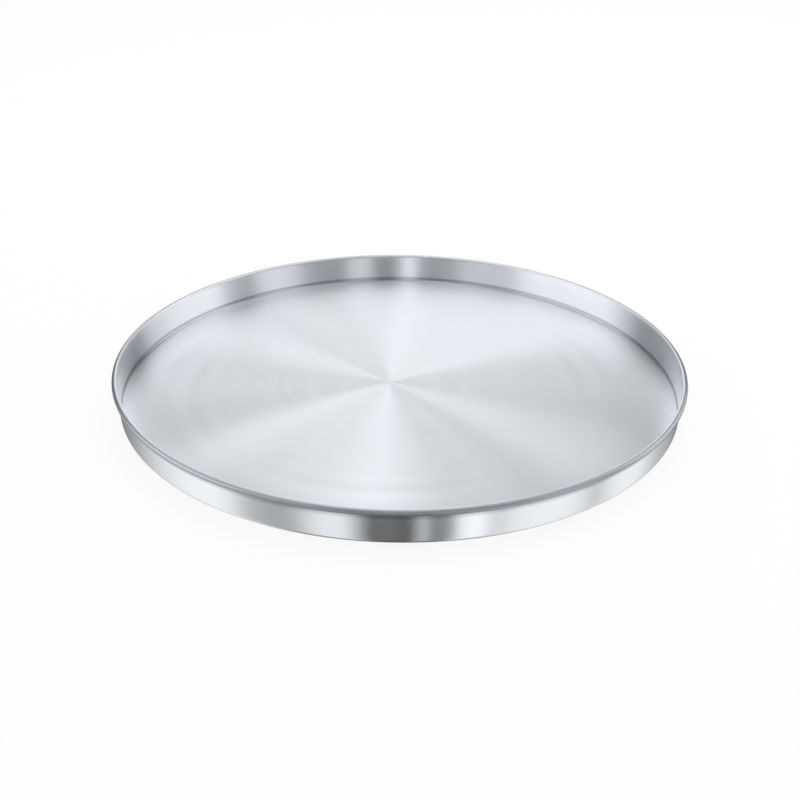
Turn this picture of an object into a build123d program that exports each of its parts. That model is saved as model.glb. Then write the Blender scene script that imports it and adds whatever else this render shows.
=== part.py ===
from build123d import *
from math import ceil, cos, degrees, radians, sin, tan
import os

# A round pizza pan, spun from one disc of aluminium sheet.
# The sheet runs on without a joint: a flat floor, a small round corner, a low wall that leans
# out a little, and a rim rolled outwards and down round a ring of steel wire. The cut edge of
# the sheet is tucked in under the wire, against the outside of the wall.
# Millimetres, +Z up. The origin is the middle of the underside, and the pan stands on Z = 0.

# Driving sizes
rim_diameter = 350.0       # across the rolled rim, the widest place
pan_height = 21.0          # from the table to the top of the rolled rim
sheet_thickness = 0.8
corner_radius = 1.5        # inside, where the floor turns up into the wall
wall_lean = 1.0            # degrees, outwards from upright
wire_diameter = 1.4
wire_play = 0.15           # room between the wire and the sheet rolled round it
tuck_gap = 0.1             # between the sheet's cut edge and the wall that it is tucked against
wire_end_gap = 1.0         # between the wire's two ends, which meet at the back of the pan

# A bend in a section, and the round wire, are drawn in even straight steps that each turn this
# many degrees at most. On these small radii that is within 0.08 of the true arc.
bend_step = 22.5

# The rolled rim in section: two circles round the middle of the wire
roll_inner_radius = wire_diameter / 2 + wire_play
roll_outer_radius = roll_inner_radius + sheet_thickness
wire_ring_radius = rim_diameter / 2 - roll_outer_radius
wire_height = pan_height - roll_outer_radius

# The wall's outside line leaves the corner's circle and meets the roll's inner circle as a
# tangent, which settles where the flat floor ends.
lean = radians(wall_lean)
outside_corner_radius = corner_radius + sheet_thickness
wall_foot_height = outside_corner_radius * (1 - sin(lean))
wall_top_height = wire_height + roll_inner_radius * sin(lean)
wall_top_radius = wire_ring_radius - roll_inner_radius * cos(lean)
wall_foot_radius = wall_top_radius - (wall_top_height - wall_foot_height) * tan(lean)
floor_radius = wall_foot_radius - outside_corner_radius * cos(lean)

# The cut edge stops this far in from the wire's middle, short of the wall by its gap
tuck_length = roll_inner_radius - tuck_gap


def bend(centre_radius, centre_height, radius, start, end):
    """Points on an arc from one angle to another, in degrees from +X, in even steps."""
    steps = ceil(abs(end - start) / bend_step)
    angles = [radians(start + (end - start) * i / steps) for i in range(steps + 1)]
    return [(centre_radius + radius * cos(a), centre_height + radius * sin(a)) for a in angles]


def sheet_line(depth):
    """The sheet in section from the pan's axis to its cut edge, so deep below its outside.

    The bends keep their centres at every depth, so the corner tightens and the roll widens
    from the outside of the sheet to the inside. The straight wall lies between them.
    """
    roll_radius = roll_inner_radius + depth
    line = [(0, depth)]
    line += bend(floor_radius, outside_corner_radius, outside_corner_radius - depth, -90, -wall_lean)
    line += bend(wire_ring_radius, wire_height, roll_radius, 180 - wall_lean, 90)
    line += bend(wire_ring_radius, wire_height, roll_radius, 90, -90)[1:]
    line += [(wire_ring_radius - tuck_length, wire_height - roll_radius)]
    return line


def pan_shell():
    """One sheet: its outside line and its inside line, joined at the ends and spun round +Z."""
    outside = sheet_line(0)
    inside = sheet_line(sheet_thickness)
    section = make_face(Polyline(*outside, *reversed(inside), close=True))
    return revolve(Plane.XZ * section, Axis.Z)


def rim_wire():
    """One length of wire bent into a ring, its two ends a little apart at the back."""
    gap_angle = degrees(wire_end_gap / wire_ring_radius)
    wire = RegularPolygon(wire_diameter / 2, ceil(360 / bend_step))
    section = Plane.XZ * Pos(wire_ring_radius, wire_height) * wire
    start = Rot(0, 0, 90 + gap_angle / 2) * section
    return revolve(start, Axis.Z, revolution_arc=360 - gap_angle)


subparts = {
    "pan_shell": pan_shell(),
    "rim_wire": rim_wire(),
}

os.makedirs("parts", exist_ok=True)
for node, solid in subparts.items():
    export_step(solid, f"parts/{node}.step")
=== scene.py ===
"""A round pizza pan spun from one disc of aluminium sheet, its rim rolled over a ring of wire.

Metres, +Z up. The origin is the middle of the underside, and the front of the pan faces -Y.
"""

import math
from collections import namedtuple

import bpy
import numpy as np
from mathutils import Matrix, Vector


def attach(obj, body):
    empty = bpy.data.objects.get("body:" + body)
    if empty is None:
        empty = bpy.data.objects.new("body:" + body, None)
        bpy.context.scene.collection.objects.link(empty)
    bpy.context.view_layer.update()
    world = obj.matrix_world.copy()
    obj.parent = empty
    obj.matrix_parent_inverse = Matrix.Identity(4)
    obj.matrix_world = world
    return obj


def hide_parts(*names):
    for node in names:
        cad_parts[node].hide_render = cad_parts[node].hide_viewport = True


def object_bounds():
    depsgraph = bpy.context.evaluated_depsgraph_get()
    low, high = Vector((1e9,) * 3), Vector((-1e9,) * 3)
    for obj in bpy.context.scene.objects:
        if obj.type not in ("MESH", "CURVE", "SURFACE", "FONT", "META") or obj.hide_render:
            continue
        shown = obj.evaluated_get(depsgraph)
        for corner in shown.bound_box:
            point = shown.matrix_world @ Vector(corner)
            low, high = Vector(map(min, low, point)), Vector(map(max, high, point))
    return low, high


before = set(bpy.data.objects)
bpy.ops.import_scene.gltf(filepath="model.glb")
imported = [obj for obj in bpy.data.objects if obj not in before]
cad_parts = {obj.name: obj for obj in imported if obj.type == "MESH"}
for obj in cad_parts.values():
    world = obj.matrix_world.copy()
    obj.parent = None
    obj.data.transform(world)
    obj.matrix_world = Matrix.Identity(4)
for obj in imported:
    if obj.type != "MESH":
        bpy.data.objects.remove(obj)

CAD_LOW, CAD_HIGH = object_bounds()

MM = 0.001
DEGREE = math.pi / 180

# The pan's reach comes from the frame, and the sheet, its bends and the wire have the same sizes
# as the solids there
RIM_RADIUS = min(CAD_HIGH.x, CAD_HIGH.y, -CAD_LOW.x, -CAD_LOW.y)
PAN_HEIGHT = CAD_HIGH.z
SHEET = 0.8 * MM
CORNER_RADIUS = 1.5 * MM        # inside, where the floor turns up into the wall
WALL_LEAN = 1.0                 # degrees, outwards from upright
WIRE_DIAMETER = 1.4 * MM
WIRE_PLAY = 0.15 * MM           # room between the wire and the sheet rolled round it
TUCK_GAP = 0.1 * MM             # between the cut edge and the wall that it is tucked against
WIRE_END_GAP = 1.0 * MM         # between the wire's two ends, at the back of the pan

# The rolled rim in section: circles round the middle of the wire
ROLL_INNER = WIRE_DIAMETER / 2 + WIRE_PLAY
ROLL_OUTER = ROLL_INNER + SHEET
WIRE_RING_RADIUS = RIM_RADIUS - ROLL_OUTER
WIRE_HEIGHT = PAN_HEIGHT - ROLL_OUTER

# The straight wall leaves the corner's circle and meets the roll's inner circle as a tangent
LEAN = WALL_LEAN * DEGREE
OUTER_CORNER = CORNER_RADIUS + SHEET
WALL_FOOT_HEIGHT = OUTER_CORNER * (1 - math.sin(LEAN))
WALL_TOP_HEIGHT = WIRE_HEIGHT + ROLL_INNER * math.sin(LEAN)
WALL_TOP_RADIUS = WIRE_RING_RADIUS - ROLL_INNER * math.cos(LEAN)
WALL_FOOT_RADIUS = WALL_TOP_RADIUS - (WALL_TOP_HEIGHT - WALL_FOOT_HEIGHT) * math.tan(LEAN)
FLOOR_RADIUS = WALL_FOOT_RADIUS - OUTER_CORNER * math.cos(LEAN)

# How finely the meshes are divided
RING_STEPS = 384                # round the pan
WIRE_STEPS = 20                 # round the wire's own section
ARC_STEP = 6.0                  # degrees at most between points on a bend
FLOOR_RINGS = 16
WALL_RINGS = 6

# The places of the pan's five finishes among its materials
FLOOR, INNER_WALL, BEAD, OUTER_WALL, UNDERSIDE = range(5)

# The aluminium is pale and faintly blue where it is polished. Its greyer colours are painted shade
# in the corner, under the rolled rim and on the bead, and a painted dark reflection on the crest.
# The zinc is the wire's, and the last two colours are the studio's.
SATIN_COLOUR = "#ebeef3"        # the floor and the underside
INNER_WALL_COLOUR = "#eef0f3"
BEAD_COLOUR = "#eceff3"
OUTER_WALL_COLOUR = "#eff3f7"
CORNER_PAINTED_SHADE_COLOUR = "#b8bcc2"
BEAD_PAINTED_SHADE_COLOUR = "#a9adb4"
CREST_PAINTED_REFLECTION_COLOUR = "#c4c8ce"
TUCK_PAINTED_SHADE_COLOUR = "#a5a9b0"
ZINC_DARK_COLOUR = "#a9acb0"
ZINC_LIGHT_COLOUR = "#c4c7ca"
PAPER_COLOUR = "#fdfdfd"
WHITE = "#ffffff"

# The floor was turned round this point when it was polished. It lies a little to the left and
# front of the pan's own axis, where the photograph's wedges of light meet.
FLOOR_TURNED_ROUND = (-6.5 * MM, -3 * MM)

# Real tool marks lie some 0.2 mm apart. They are drawn 0.9 mm apart, which is what shows.
TOOL_MARK_SPACING = 0.9 * MM
BROAD_MARK_SPACING = 9 * MM     # bands where the tool pressed harder or less hard
CLOUD_SIZE = 40 * MM            # patches of the metal's slight change in colour
SPANGLE_SIZE = 0.6 * MM         # crystals in the zinc coat

MARKS_LOW, MARKS_HIGH = 0.6, 1.4            # what the fine and broad marks mostly add up to
SMOOTH_MARK, ROUGH_MARK = 0.94, 1.06        # times a finish's roughness
CLOUD_DARK, CLOUD_LIGHT = 0.975, 1.01       # times a finish's colour
ZINC_SMOOTH, ZINC_ROUGH = 0.42, 0.58        # the zinc coat's roughness
QUARTER_TURN = 0.25

# A band of metal colour painted darker round the axis, for painted shade and painted dark
# reflections. It is measured by "height" or by "radius", and lies about a middle: the painted
# colour is full at one distance from that middle and the metal's own at another.
PaintedDarkBand = namedtuple("PaintedDarkBand", "measure middle dull_at bright_at colour")

WHITE_FLOOR_REACH = 6.0         # from the pan's middle to each side of the white floor
WHITE_FLOOR_GLOW = 0.85         # the share of it that the camera sees as its own white
WORLD_LIGHT = 0.8

# The lens and its place, from the pan's outlines in the photograph, which is 800 pixels square
LENS = 45.0                     # millimetres, on a sensor 36 wide
SENSOR = 36.0
NEAREST_SEEN = 10 * MM
CAMERA_ELEVATION = 28.39 * DEGREE
CAMERA_ROLL = 0.64 * DEGREE
CAMERA_DISTANCE = 635.2 * MM
CAMERA_ASIDE = 0.1 * MM
CAMERA_RAISED = -11.9 * MM


def linear(hex_colour):
    """An sRGB hex colour as linear red, green, blue and alpha."""
    parts = [int(hex_colour[i:i + 2], 16) / 255 for i in (1, 3, 5)]
    return [c / 12.92 if c <= 0.04045 else ((c + 0.055) / 1.055) ** 2.4 for c in parts] + [1.0]


def add_node(tree, kind, inputs=None, links=None, **settings):
    """Adds a node, gives its settings and input values, and links outputs to its inputs."""
    made = tree.nodes.new(kind)
    for setting, value in settings.items():
        setattr(made, setting, value)
    for socket, value in (inputs or {}).items():
        made.inputs[socket].default_value = value
    for socket, output in (links or {}).items():
        tree.links.new(output, made.inputs[socket])
    return made


def empty_material(name):
    """A new material whose node tree is still empty."""
    material = bpy.data.materials.new(name)
    material.use_nodes = True
    material.node_tree.nodes.clear()
    return material


def arc(centre_radius, centre_height, radius, start, end):
    """Points on a circle's arc in section, [radius, height] each: the centre plus the radius
    times (cosine, sine) of angles in even steps, in degrees from outwards."""
    steps = math.ceil(abs(end - start) / ARC_STEP)
    angle = np.linspace(start, end, steps + 1) * DEGREE
    return np.column_stack([centre_radius + radius * np.cos(angle),
                            centre_height + radius * np.sin(angle)])


def straight(first, last, steps):
    """Points between two points, both left out, in even steps."""
    share = np.arange(1, steps)[:, None] / steps
    return np.asarray(first) + share * (np.asarray(last) - np.asarray(first))


def sheet_line(depth):
    """The sheet in section from the axis to its cut edge, so deep below its outside, and how many
    steps each stretch has: floor, corner with wall, roll with tuck.

    The bends keep their centres at every depth, so the corner tightens and the roll widens from
    the outside of the sheet to the inside.
    """
    corner = arc(FLOOR_RADIUS, OUTER_CORNER, OUTER_CORNER - depth, -90, -WALL_LEAN)
    roll = arc(WIRE_RING_RADIUS, WIRE_HEIGHT, ROLL_INNER + depth, 180 - WALL_LEAN, -90)
    tuck = [[WIRE_RING_RADIUS - ROLL_INNER + TUCK_GAP, WIRE_HEIGHT - ROLL_INNER - depth]]
    axis = [[0, depth]]
    floor = straight(axis[0], corner[0], FLOOR_RINGS)
    wall = straight(corner[-1], roll[0], WALL_RINGS)
    steps = FLOOR_RINGS, len(corner) - 1 + WALL_RINGS, len(roll)
    return np.concatenate([axis, floor, corner, wall, roll, tuck]), steps


def turned(radius, height, turn):
    """Points of a section turned round +Z: the point (r, h) at turn t is (r cos t, r sin t, h)."""
    return np.stack(np.broadcast_arrays(radius * np.cos(turn), radius * np.sin(turn), height), -1)


def ring_quads(index):
    """Quads between neighbouring rings of vertices, where each ring is closed on itself."""
    after = np.roll(index, -1, axis=1)
    return np.stack([index[:-1], after[:-1], after[1:], index[1:]], axis=-1).reshape(-1, 4).tolist()


def closed_skin(rings, first_middle, last_middle):
    """Vertices and faces of a closed surface over a row of rings: quads from each ring to the
    next, and then a fan of triangles from each end ring to the point in its middle."""
    count, around = rings.shape[:2]
    index = np.arange(count * around).reshape(count, around)
    first, last = index[0], index[-1]
    first_fan = np.column_stack([np.roll(first, -1), first, np.full(around, index.size)])
    last_fan = np.column_stack([last, np.roll(last, -1), np.full(around, index.size + 1)])
    vertices = np.concatenate([rings.reshape(-1, 3), [first_middle, last_middle]])
    return vertices, ring_quads(index) + first_fan.tolist() + last_fan.tolist()


def new_object(name, vertices, faces, materials):
    """Puts vertices and faces into a smooth mesh, on an object at the origin."""
    mesh = bpy.data.meshes.new(name)
    mesh.from_pydata(vertices, [], faces)
    for material in materials:
        mesh.materials.append(material)
    mesh.polygons.foreach_set("use_smooth", np.ones(len(mesh.polygons), bool))
    mesh.update()
    made = bpy.data.objects.new(name, mesh)
    bpy.context.scene.collection.objects.link(made)
    return made


def pan_body(materials):
    """The sheet spun round +Z: point (r, h) of the section at turn t is (r cos t, r sin t, h).

    The section runs along the outside of the sheet, over the cut edge and back along the inside,
    from the axis to the axis. Its two ends are poles of one vertex each.
    """
    outside, outside_steps = sheet_line(0)
    inside, inside_steps = sheet_line(SHEET)
    section = np.concatenate([outside, inside[::-1]])
    turn = np.arange(RING_STEPS) / RING_STEPS * 2 * math.pi
    rings = turned(section[1:-1, :1], section[1:-1, 1:], turn)
    vertices, faces = closed_skin(rings, (0, 0, section[0, 1]), (0, 0, section[-1, 1]))
    pan = new_object("pan_body", vertices, faces, materials)
    # The finish of each step along the section, with one more step for the cut edge. The faces
    # have the steps between rings first, and then those at the two poles.
    stretches = [UNDERSIDE, OUTER_WALL, BEAD, BEAD, BEAD, INNER_WALL, FLOOR]
    finish = np.repeat(stretches, (*outside_steps, 1, *inside_steps[::-1]))
    finish_of_face = np.repeat(np.concatenate([finish[1:-1], finish[[0, -1]]]), RING_STEPS)
    pan.data.polygons.foreach_set("material_index", finish_of_face.astype(np.int32))
    return pan


def wire_ring(material):
    """A round wire bent into a ring: at turn t and angle a round its own section the point is
    ((R + w cos a) cos t, (R + w cos a) sin t, H + w sin a), where R and H are the radius and
    height of the wire's middle line, and w is the wire's own radius. It stops short of a full
    turn at the back, and each end is closed by a fan round its middle."""
    gap = WIRE_END_GAP / WIRE_RING_RADIUS
    turn = math.pi / 2 + gap / 2 + np.linspace(0, 2 * math.pi - gap, RING_STEPS + 1)
    # Clockwise in section, so that the faces point outwards
    angle = -np.arange(WIRE_STEPS) / WIRE_STEPS * 2 * math.pi
    wire = WIRE_DIAMETER / 2
    rings = turned(WIRE_RING_RADIUS + wire * np.cos(angle), WIRE_HEIGHT + wire * np.sin(angle),
                   turn[:, None])
    middles = turned(WIRE_RING_RADIUS, WIRE_HEIGHT, turn[[0, -1]])
    return new_object("rim_wire_ring", *closed_skin(rings, *middles), [material])


def spun_aluminium(name, colour, roughness, anisotropy, painted_dark_bands=(), turned_round=(0, 0)):
    """Bare aluminium turned against a spinning tool, which leaves fine rings round the axis.

    To the eye it is a pale, faintly bluish metal. Light is spread across the rings and hardly
    along them, so the flat floor shows wedges of light that meet in the middle, and the wall
    shows upright streaks. The tangent runs round the axis, and a quarter turn sets it across.
    """
    material = empty_material(name)
    tree = material.node_tree
    place = add_node(tree, "ShaderNodeTexCoord").outputs["Object"]
    shifted = add_node(tree, "ShaderNodeVectorMath", inputs={1: (*turned_round, 0)},
                       links={0: place}, operation="SUBTRACT").outputs[0]
    flat = add_node(tree, "ShaderNodeVectorMath", inputs={1: (1, 1, 0)},
                    links={0: shifted}, operation="MULTIPLY").outputs[0]
    along = add_node(tree, "ShaderNodeVectorMath", inputs={0: (0, 0, 1)},
                     links={1: flat}, operation="CROSS_PRODUCT").outputs[0]
    tangent = add_node(tree, "ShaderNodeVectorMath", links={0: along}, operation="NORMALIZE").outputs[0]
    from_axis = add_node(tree, "ShaderNodeVectorMath", links={0: flat}, operation="LENGTH").outputs["Value"]
    height = add_node(tree, "ShaderNodeSeparateXYZ", links={0: place}).outputs["Z"]

    # Radius plus height grows along the section, outwards on the floor and then up the wall, so
    # the tool's marks are spaced by it
    across = add_node(tree, "ShaderNodeMath", links={0: from_axis, 1: height}, operation="ADD").outputs[0]
    fine = add_node(tree, "ShaderNodeTexNoise",
                    inputs={"Scale": 1 / TOOL_MARK_SPACING, "Detail": 3.0, "Roughness": 0.6},
                    links={"W": across}, noise_dimensions="1D").outputs["Fac"]
    broad = add_node(tree, "ShaderNodeTexNoise", inputs={"Scale": 1 / BROAD_MARK_SPACING, "Detail": 2.0},
                     links={"W": across}, noise_dimensions="1D").outputs["Fac"]
    marks = add_node(tree, "ShaderNodeMath", links={0: fine, 1: broad}, operation="ADD").outputs[0]
    rough = add_node(tree, "ShaderNodeMapRange",
                     inputs={"From Min": MARKS_LOW, "From Max": MARKS_HIGH,
                             "To Min": roughness * SMOOTH_MARK, "To Max": roughness * ROUGH_MARK},
                     links={"Value": marks}).outputs["Result"]

    cloud = add_node(tree, "ShaderNodeTexNoise", inputs={"Scale": 1 / CLOUD_SIZE, "Detail": 3.0},
                     links={"Vector": place}, noise_dimensions="3D").outputs["Fac"]
    darker = [c * CLOUD_DARK for c in linear(colour)[:3]] + [1]
    lighter = [min(1, c * CLOUD_LIGHT) for c in linear(colour)[:3]] + [1]
    tint = add_node(tree, "ShaderNodeMixRGB", inputs={"Color1": darker, "Color2": lighter},
                    links={"Fac": cloud}).outputs["Color"]
    # Each band mixes a darker colour into the metal's tint by place, as painted shade and painted dark
    # reflections
    for band in painted_dark_bands:
        measured = {"height": height, "radius": from_axis}[band.measure]
        beyond = add_node(tree, "ShaderNodeMath", inputs={1: band.middle},
                          links={0: measured}, operation="SUBTRACT").outputs[0]
        away = add_node(tree, "ShaderNodeMath", links={0: beyond}, operation="ABSOLUTE").outputs[0]
        unshaded = add_node(tree, "ShaderNodeMapRange",
                          inputs={"From Min": band.dull_at, "From Max": band.bright_at},
                          links={"Value": away}).outputs["Result"]
        tint = add_node(tree, "ShaderNodeMixRGB", inputs={"Color1": linear(band.colour)},
                        links={"Fac": unshaded, "Color2": tint}).outputs["Color"]

    shader = add_node(tree, "ShaderNodeBsdfPrincipled",
                      inputs={"Metallic": 1.0, "Anisotropic": anisotropy,
                              "Anisotropic Rotation": QUARTER_TURN},
                      links={"Base Color": tint, "Roughness": rough, "Tangent": tangent}).outputs[0]
    add_node(tree, "ShaderNodeOutputMaterial", links={"Surface": shader})
    return material


def galvanised_wire():
    """Drawn steel wire with a dull zinc coat, all inside the rolled rim. To the eye it is a
    cloudy mid grey with no clear highlight."""
    material = empty_material("galvanised_steel_wire")
    tree = material.node_tree
    place = add_node(tree, "ShaderNodeTexCoord").outputs["Object"]
    spangle = add_node(tree, "ShaderNodeTexNoise", inputs={"Scale": 1 / SPANGLE_SIZE, "Detail": 3.0},
                       links={"Vector": place}).outputs["Fac"]
    colours = {"Color1": linear(ZINC_DARK_COLOUR), "Color2": linear(ZINC_LIGHT_COLOUR)}
    tint = add_node(tree, "ShaderNodeMixRGB", inputs=colours, links={"Fac": spangle}).outputs["Color"]
    rough = add_node(tree, "ShaderNodeMapRange", inputs={"To Min": ZINC_SMOOTH, "To Max": ZINC_ROUGH},
                     links={"Value": spangle}).outputs["Result"]
    shader = add_node(tree, "ShaderNodeBsdfPrincipled", inputs={"Metallic": 1.0},
                      links={"Base Color": tint, "Roughness": rough}).outputs[0]
    add_node(tree, "ShaderNodeOutputMaterial", links={"Surface": shader})
    return material


def white_floor():
    """A matt white floor under the pan. To the camera most of it is its own white, and the rest
    is lit, so that it keeps the pan's shadow. From below it is clear, so that it hides nothing."""
    material = empty_material("matt_white_floor")
    tree = material.node_tree
    lit = add_node(tree, "ShaderNodeBsdfDiffuse", inputs={"Color": linear(PAPER_COLOUR)}).outputs[0]
    glow = add_node(tree, "ShaderNodeEmission",
                    inputs={"Color": linear(WHITE), "Strength": 1.0}).outputs[0]
    paper = add_node(tree, "ShaderNodeMixShader", inputs={0: WHITE_FLOOR_GLOW},
                     links={1: lit, 2: glow}).outputs[0]
    rays = add_node(tree, "ShaderNodeLightPath").outputs
    above = add_node(tree, "ShaderNodeMixShader",
                     links={0: rays["Is Camera Ray"], 1: lit, 2: paper}).outputs[0]
    clear = add_node(tree, "ShaderNodeBsdfTransparent").outputs[0]
    below = add_node(tree, "ShaderNodeNewGeometry").outputs["Backfacing"]
    seen = add_node(tree, "ShaderNodeMixShader", links={0: below, 1: above, 2: clear}).outputs[0]
    add_node(tree, "ShaderNodeOutputMaterial", links={"Surface": seen})
    reach = WHITE_FLOOR_REACH
    corners = [(-reach, -reach, 0), (reach, -reach, 0), (reach, reach, 0), (-reach, reach, 0)]
    floor = new_object("floor", corners, [(0, 1, 2, 3)], [material])
    floor.visible_glossy = False


ELEVATION_EDGE = 6.0            # half the soft edge of a softbox above and below, in degrees
TOP = 90 + ELEVATION_EDGE       # straight up, with the soft edge past it
BOTTOM = -TOP
ALL_ROUND = 180

# The studio as the metal shows it: white, with softboxes brighter than that, grey tables below
# the horizon, and dark gaps. Each light or dark streak on the walls in the photograph, and each
# wedge on the floor, mirrors one of them. Each has the azimuth of its middle in degrees from +X
# towards the back, its half width, the width of its soft edge, its lowest and highest elevation,
# and how bright it is. Later ones hang in front of earlier ones.
STUDIO = (
    ("ceiling", 0, ALL_ROUND, 1, 45, TOP, 0.45),
    ("high softbox on the left", 150, 45, 10, 58, TOP, 0.9),
    ("high softbox on the right", 15, 50, 10, 52, TOP, 1.2),
    ("right softbox", 22, 32, 16, 0, 48, 1.65),
    ("gap at the back right", 61, 13, 6, 0, TOP, 0.0),
    ("back softbox", 92, 9, 6, 0, TOP, 1.5),
    ("scrim at the back left", 110, 8, 6, 0, TOP, 0.8),
    ("gap at the back left", 132, 19, 15, 0, 34, 0.0),
    ("left softbox", 190, 32, 24, 0, 32, 2.1),
    ("scrim at the front left", 230, 15, 10, 0, TOP, 0.8),
    ("gap at the front left", 255, 13, 6, 0, TOP, 0.0),
    ("high softbox at the front left", 240, 14, 8, 56, TOP, 1.75),
    ("strip over the camera", 266, 3, 3, 0, 50, 2.5),
    ("gap beside the strip", 277, 6, 3, 0, 50, 0.0),
    ("high gap in front", 285, 14, 6, 45, TOP, 0.0),
    ("front right strip", 290, 6, 3, 0, 40, 1.5),
    ("gap at the front right", 306, 11, 5, 0, 40, 0.0),
    ("right strip", 333, 7, 4, 0, 40, 1.5),
    ("gap at the right", 348, 8, 3, 0, 50, 0.0),
    ("lamp overhead", 0, ALL_ROUND, 1, 76, TOP, 1.2),
    ("grey table at the back", 90, 30, 10, BOTTOM, 0, 0.3),
    ("grey table at the back right", 45, 20, 14, BOTTOM, 0, 0.45),
    ("table gap at the back right", 58, 8, 6, BOTTOM, 0, 0.1),
    ("grey table at the back left", 124, 32, 60, BOTTOM, 0, 0.25),
    ("grey table at the front left", 219, 14, 16, BOTTOM, 0, 0.4),
    ("dark table under the camera", 267, 13, 14, BOTTOM, 0, 0.1),
    ("thin light under the camera", 280, 2, 6, BOTTOM, 0, 0.6),
    ("dark table beside the camera", 287, 5, 4, BOTTOM, 0, 0.2),
    ("bright table edge", 300, 3, 4, BOTTOM, 0, 1.25),
    ("grey table at the front right", 309, 4, 4, BOTTOM, 0, 0.75),
    ("narrow table gap at the right", 351, 3, 5, BOTTOM, 0, 0.25),
    ("shadow under the pan", 0, ALL_ROUND, 1, BOTTOM, -66, 0.1),
)
DOME_RADIUS = 5.0
DOME_TURNS = 360                # steps in azimuth
DOME_RISES = 90                 # steps in elevation


def ease(share):
    """A smooth step: 0 below 0, 1 above 1, and 3 s squared less 2 s cubed between."""
    share = np.clip(share, 0, 1)
    return share * share * (3 - 2 * share)


def studio_tone(azimuth, elevation):
    """How bright the studio is in each direction: white, with each softbox or gap laid over it."""
    tone = np.ones(azimuth.shape)
    for _, middle, half, edge, low, high, level in STUDIO:
        aside = np.abs((azimuth - middle + 180) % 360 - 180)
        cover = ease((half + edge / 2 - aside) / edge)
        cover = cover * ease((elevation - low + ELEVATION_EDGE) / (2 * ELEVATION_EDGE))
        cover = cover * ease((high - elevation + ELEVATION_EDGE) / (2 * ELEVATION_EDGE))
        tone = tone + cover * (level - tone)
    return tone


def studio_dome():
    """A sphere round the set that carries the studio's tone. Only metal shows it, and it throws
    no light on anything matt. The point at azimuth a and elevation e is the radius times
    (cos e cos a, cos e sin a, sin e)."""
    material = empty_material("studio_cloth")
    material.cycles.emission_sampling = "NONE"
    tree = material.node_tree
    tone = add_node(tree, "ShaderNodeAttribute", attribute_name="tone").outputs["Fac"]
    glow = add_node(tree, "ShaderNodeEmission", inputs={"Color": linear(WHITE)},
                    links={"Strength": tone}).outputs[0]
    add_node(tree, "ShaderNodeOutputMaterial", links={"Surface": glow})

    azimuth, elevation = np.meshgrid(np.arange(DOME_TURNS) * 360 / DOME_TURNS,
                                     np.linspace(-90, 90, DOME_RISES + 1))
    up = elevation * DEGREE
    points = DOME_RADIUS * turned(np.cos(up), np.sin(up), azimuth * DEGREE)
    faces = ring_quads(np.arange(azimuth.size).reshape(azimuth.shape))
    dome = new_object("studio_dome", points.reshape(-1, 3), faces, [material])
    levels = studio_tone(azimuth, elevation).ravel().astype(np.float32)
    dome.data.attributes.new("tone", "FLOAT", "POINT").data.foreach_set("value", levels)
    dome.visible_camera = dome.visible_diffuse = dome.visible_transmission = dome.visible_shadow = False


def studio_world():
    """White all round for the camera and in metal and glass, and a plain soft light for the rest."""
    world = bpy.data.worlds.new("studio")
    bpy.context.scene.world = world
    world.use_nodes = True
    tree = world.node_tree
    tree.nodes.clear()
    rays = add_node(tree, "ShaderNodeLightPath").outputs
    camera_or_gloss = add_node(tree, "ShaderNodeMath", operation="MAXIMUM",
                               links={0: rays["Is Camera Ray"], 1: rays["Is Glossy Ray"]}).outputs[0]
    shown = add_node(tree, "ShaderNodeMath", operation="MAXIMUM",
                     links={0: camera_or_gloss, 1: rays["Is Transmission Ray"]}).outputs[0]
    backdrop = add_node(tree, "ShaderNodeBackground",
                        inputs={"Color": linear(WHITE), "Strength": 1.0}).outputs[0]
    light = add_node(tree, "ShaderNodeBackground",
                     inputs={"Color": linear(WHITE), "Strength": WORLD_LIGHT}).outputs[0]
    both = add_node(tree, "ShaderNodeMixShader", links={0: shown, 1: light, 2: backdrop}).outputs[0]
    add_node(tree, "ShaderNodeOutputWorld", links={"Surface": both})


def soft_lamp(name, azimuth, elevation, distance, size, watts):
    """A square soft lamp at an azimuth and elevation from the pan's middle, turned to face it."""
    lamp = bpy.data.lights.new(name, "AREA")
    lamp.size = size
    lamp.energy = watts
    around, up = azimuth * DEGREE, elevation * DEGREE
    towards = Vector((math.cos(up) * math.cos(around), math.cos(up) * math.sin(around), math.sin(up)))
    holder = bpy.data.objects.new(name, lamp)
    holder.location = towards * distance
    holder.rotation_euler = towards.to_track_quat("Z", "Y").to_euler()
    holder.visible_glossy = False
    bpy.context.scene.collection.objects.link(holder)


def photo_camera():
    """The camera looks along minus `back`. Its right and up are turned by the roll."""
    back = Vector((0, -math.cos(CAMERA_ELEVATION), math.sin(CAMERA_ELEVATION)))
    level_right = Vector((1, 0, 0))
    level_up = back.cross(level_right)
    right = level_right * math.cos(CAMERA_ROLL) + level_up * math.sin(CAMERA_ROLL)
    up = level_up * math.cos(CAMERA_ROLL) - level_right * math.sin(CAMERA_ROLL)
    lens = bpy.data.cameras.new("photo_camera")
    lens.lens = LENS
    lens.sensor_width = SENSOR
    lens.clip_start = NEAREST_SEEN
    camera = bpy.data.objects.new("photo_camera", lens)
    bpy.context.scene.collection.objects.link(camera)
    place = back * CAMERA_DISTANCE + right * CAMERA_ASIDE + up * CAMERA_RAISED
    camera.matrix_world = Matrix.Translation(place) @ Matrix((right, up, back)).transposed().to_4x4()
    bpy.context.scene.camera = camera
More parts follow.
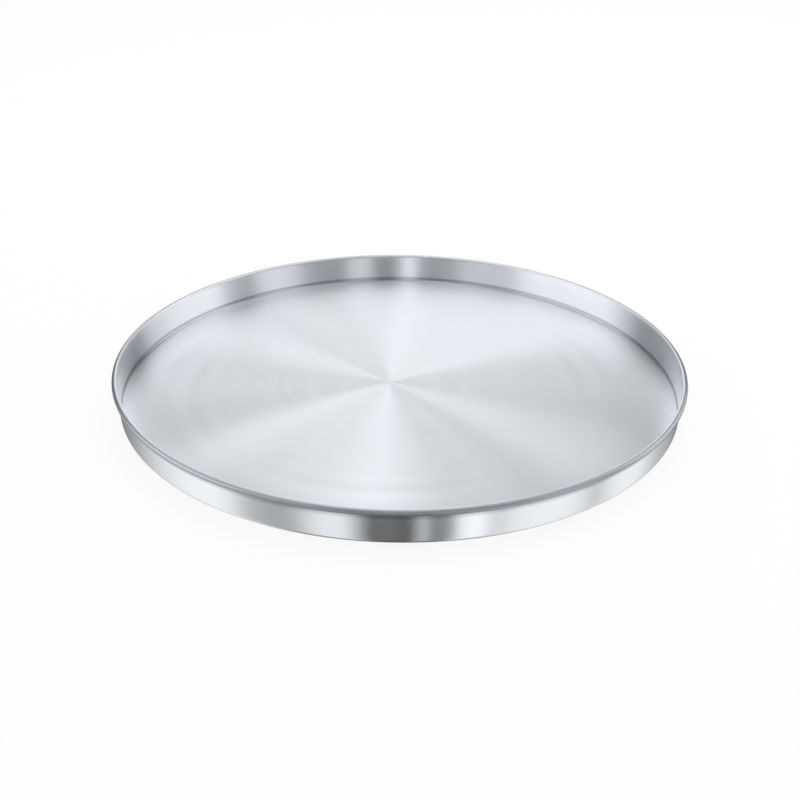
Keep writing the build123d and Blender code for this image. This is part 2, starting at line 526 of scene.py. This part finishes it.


# Painted shade: the inside corner, the outer wall up under the rolled rim and the bead's outer
# side are coloured darker, and a narrow painted dark reflection runs along the bead's crest.
corner_painted_shade = PaintedDarkBand("height", middle=2.2 * MM,
                       dull_at=0.7 * MM, bright_at=2.0 * MM, colour=CORNER_PAINTED_SHADE_COLOUR)
# Painted shade on the bead, darkest on its outer side
bead_outside_painted_shade = PaintedDarkBand("radius", middle=WIRE_RING_RADIUS - ROLL_OUTER / 2,
                             dull_at=1.7 * MM, bright_at=0.2 * MM, colour=BEAD_PAINTED_SHADE_COLOUR)
# A painted dark reflection: a narrow darker line along the bead's crest
crest_painted_reflection = PaintedDarkBand("radius", middle=WIRE_RING_RADIUS - 0.35 * MM,
                      dull_at=0.1 * MM, bright_at=0.45 * MM, colour=CREST_PAINTED_REFLECTION_COLOUR)
# Painted shade on the outer wall under the rolled rim, darkest at the rim's underside and fading over 3.6
# mm
tuck_painted_shade = PaintedDarkBand("height", middle=WIRE_HEIGHT - ROLL_OUTER,
                     dull_at=0.0, bright_at=3.6 * MM, colour=TUCK_PAINTED_SHADE_COLOUR)

pan_finishes = {
    FLOOR: spun_aluminium("satin_spun_aluminium_floor", SATIN_COLOUR, roughness=0.405,
                          anisotropy=0.963, turned_round=FLOOR_TURNED_ROUND),
    INNER_WALL: spun_aluminium("spun_aluminium_inner_wall", INNER_WALL_COLOUR, roughness=0.308,
                               anisotropy=1.0, painted_dark_bands=[corner_painted_shade]),
    BEAD: spun_aluminium("rolled_aluminium_bead", BEAD_COLOUR, roughness=0.43,
                         anisotropy=0.55, painted_dark_bands=[bead_outside_painted_shade, crest_painted_reflection]),
    OUTER_WALL: spun_aluminium("spun_aluminium_outer_wall", OUTER_WALL_COLOUR, roughness=0.218,
                               anisotropy=1.0, painted_dark_bands=[tuck_painted_shade]),
    UNDERSIDE: spun_aluminium("satin_spun_aluminium_underside", SATIN_COLOUR, roughness=0.45,
                              anisotropy=0.9),
}

pan = pan_body([pan_finishes[place] for place in sorted(pan_finishes)])
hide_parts("pan_shell")
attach(pan, "root")

wire = wire_ring(galvanised_wire())
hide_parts("rim_wire")
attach(wire, "root")

white_floor()
studio_world()
studio_dome()
soft_lamp("key_lamp", azimuth=60, elevation=60, distance=2.2, size=1.6, watts=12)
photo_camera()
bpy.context.scene.view_settings.view_transform = "Standard"
